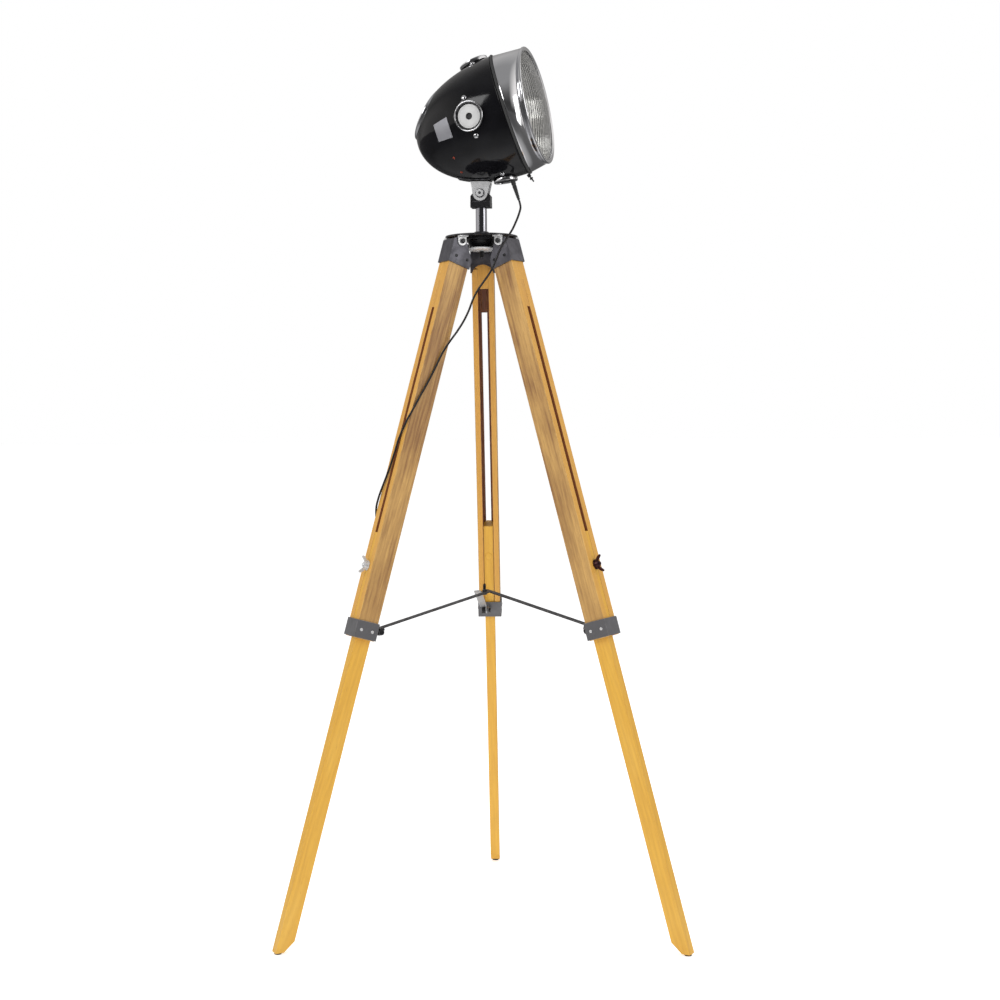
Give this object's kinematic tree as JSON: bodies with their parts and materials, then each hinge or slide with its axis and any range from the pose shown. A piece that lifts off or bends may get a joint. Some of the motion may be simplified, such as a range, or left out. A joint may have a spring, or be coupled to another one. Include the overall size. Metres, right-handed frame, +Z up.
{
  "type": "tripod spotlight floor lamp",
  "caption": "Floor lamp with a tilting black headlamp on a short pole, held by a folding wooden tripod with telescopic legs and a wire spreader.",
  "frame": {"origin": "on the floor, at the middle of the circle through the three feet, under the pole's axis", "axes": "+Z up along the pole, +X to the viewer's right, +Y away from the viewer; the lamp's beam points toward +X, 9 degrees toward -Y"},
  "size_m": [0.6829, 0.605, 1.4812],
  "materials": {
    "shell": "gloss",
    "chrome": "polished",
    "rubber": "matt",
    "lens": "clear",
    "reflector": "polished",
    "bulb": "frosted",
    "holder": "matt",
    "satin_plate": "satin",
    "dark_gloss": "gloss",
    "black_metal": "satin",
    "bright_steel": "satin",
    "pole": "dark polished",
    "dark_bolt": "satin",
    "leg_sheet": "satin",
    "upper_wood": "varnished",
    "lower_wood": "varnished",
    "foot": "matt",
    "fastener": "polished",
    "spreader": "satin",
    "cord": "satin"
  },
  "bodies": {
    "hub": {"pole": "pole", "hub_boss": "black_metal", "hub_ring": "bright_steel", "hub_plate": "black_metal", "hinge_tabs": "bright_steel", "hinge_bolts": "dark_bolt", "cord_drop": "cord"},
    "swivel": {"swivel_block": "black_metal"},
    "head": {"headlamp_shell": "shell", "trim_ring": "chrome", "shell_gasket": "rubber", "lens": "lens", "reflector": "reflector", "bulb": "bulb", "lamp_holder": "holder", "port_bezels": "chrome", "port_discs": "satin_plate", "port_rivets": "chrome", "rear_bezel": "dark_gloss", "rear_cover": "dark_gloss", "blank_plate": "satin_plate", "saddle": "black_metal", "bracket": "bright_steel", "tilt_bolt": "bright_steel", "cord_gland": "cord", "rim_screw": "black_metal"},
    "spreader_centre": {"spreader_bolt": "dark_bolt"},
    "rear_upper": {"rear_cap": "leg_sheet", "rear_upper_leg": "upper_wood", "rear_collar": "leg_sheet", "rear_screws": "dark_bolt"},
    "rear_lower": {"rear_lower_leg": "lower_wood", "rear_foot_pad": "foot", "rear_lock_bolt": "fastener"},
    "rear_wing": {"rear_wing_nut": "fastener"},
    "rear_arm": {"rear_spreader_arm": "spreader"},
    "left_upper": {"left_cap": "leg_sheet", "left_upper_leg": "upper_wood", "left_collar": "leg_sheet", "left_screws": "dark_bolt", "cord_clips": "cord", "cord_leg": "cord"},
    "left_lower": {"left_lower_leg": "lower_wood", "left_foot_pad": "foot", "left_lock_bolt": "fastener", "foot_clips": "cord", "cord_foot": "cord", "plug": "cord"},
    "left_wing": {"left_wing_nut": "fastener"},
    "left_arm": {"left_spreader_arm": "spreader"},
    "right_upper": {"right_cap": "leg_sheet", "right_upper_leg": "upper_wood", "right_collar": "leg_sheet", "right_screws": "dark_bolt"},
    "right_lower": {"right_lower_leg": "lower_wood", "right_foot_pad": "foot", "right_lock_bolt": "fastener"},
    "right_wing": {"right_wing_nut": "fastener"},
    "right_arm": {"right_spreader_arm": "spreader"}
  },
  "joints": [
    {"name": "head_swivel", "type": "hinge", "parent": "hub", "child": "swivel", "pos_m": [0, 0, 1.24], "axis": [0, 0, 1], "range_deg": [-60, 60], "deforming": ["cord_drop"]},
    {"name": "head_tilt", "type": "hinge", "parent": "swivel", "child": "head", "pos_m": [0, 0, 1.24], "axis": [-0.1564, -0.9877, 0], "range_deg": [-45, 40], "deforming": ["cord_drop"]},
    {"name": "rear_fold", "type": "hinge", "parent": "hub", "child": "rear_upper", "pos_m": [0.00218, 0.04795, 1.157], "axis": [-0.999, 0.0454, 0], "range_deg": [0, 14]},
    {"name": "rear_extend", "type": "slide", "parent": "rear_upper", "child": "rear_lower", "axis": [-0.0127, -0.2787, 0.9603], "range_m": [-0.06, 0.37]},
    {"name": "rear_wing_turn", "type": "hinge", "parent": "rear_lower", "child": "rear_wing", "pos_m": [0.0098, 0.21582, 0.62162], "axis": [0.0436, 0.9593, 0.279], "continuous": true},
    {"name": "rear_arm_pivot", "type": "hinge", "parent": "rear_upper", "child": "rear_arm", "pos_m": [0.00899, 0.19792, 0.51124], "axis": [-0.999, 0.0454, 0], "range_deg": [0, 52]},
    {"name": "left_fold", "type": "hinge", "parent": "hub", "child": "left_upper", "pos_m": [-0.04262, -0.02209, 1.157], "axis": [0.4602, -0.8878, 0], "range_deg": [0, 14], "deforming": ["cord_drop"]},
    {"name": "left_extend", "type": "slide", "parent": "left_upper", "child": "left_lower", "axis": [0.2477, 0.1284, 0.9603], "range_m": [-0.06, 0.37], "deforming": ["cord_foot", "cord_leg"]},
    {"name": "left_wing_turn", "type": "hinge", "parent": "left_lower", "child": "left_wing", "pos_m": [-0.1918, -0.09942, 0.62162], "axis": [-0.8526, -0.4419, 0.279], "continuous": true},
    {"name": "left_arm_pivot", "type": "hinge", "parent": "left_upper", "child": "left_arm", "pos_m": [-0.17589, -0.09118, 0.51124], "axis": [0.4602, -0.8878, 0], "range_deg": [0, 52]},
    {"name": "right_fold", "type": "hinge", "parent": "hub", "child": "right_upper", "pos_m": [0.04044, -0.02586, 1.157], "axis": [0.5388, 0.8425, 0], "range_deg": [0, 14]},
    {"name": "right_extend", "type": "slide", "parent": "right_upper", "child": "right_lower", "axis": [-0.235, 0.1503, 0.9603], "range_m": [-0.06, 0.37]},
    {"name": "right_wing_turn", "type": "hinge", "parent": "right_lower", "child": "right_wing", "pos_m": [0.182, -0.11639, 0.62162], "axis": [0.809, -0.5174, 0.279], "continuous": true},
    {"name": "right_arm_pivot", "type": "hinge", "parent": "right_upper", "child": "right_arm", "pos_m": [0.16691, -0.10674, 0.51124], "axis": [0.5388, 0.8425, 0], "range_deg": [0, 52]},
    {"name": "spreader_lift", "type": "slide", "parent": "hub", "child": "spreader_centre", "axis": [0, 0, 1], "range_m": [0, 0.14]}
  ],
  "couplings": [
    {"joint": "rear_arm_pivot", "follows": "rear_fold", "ratio": 3.5572},
    {"joint": "left_fold", "follows": "rear_fold", "ratio": 1},
    {"joint": "left_arm_pivot", "follows": "rear_fold", "ratio": 3.5572},
    {"joint": "right_fold", "follows": "rear_fold", "ratio": 1},
    {"joint": "right_arm_pivot", "follows": "rear_fold", "ratio": 3.5572},
    {"joint": "spreader_lift", "follows": "rear_fold", "m_per_rad": 0.52995}
  ]
}
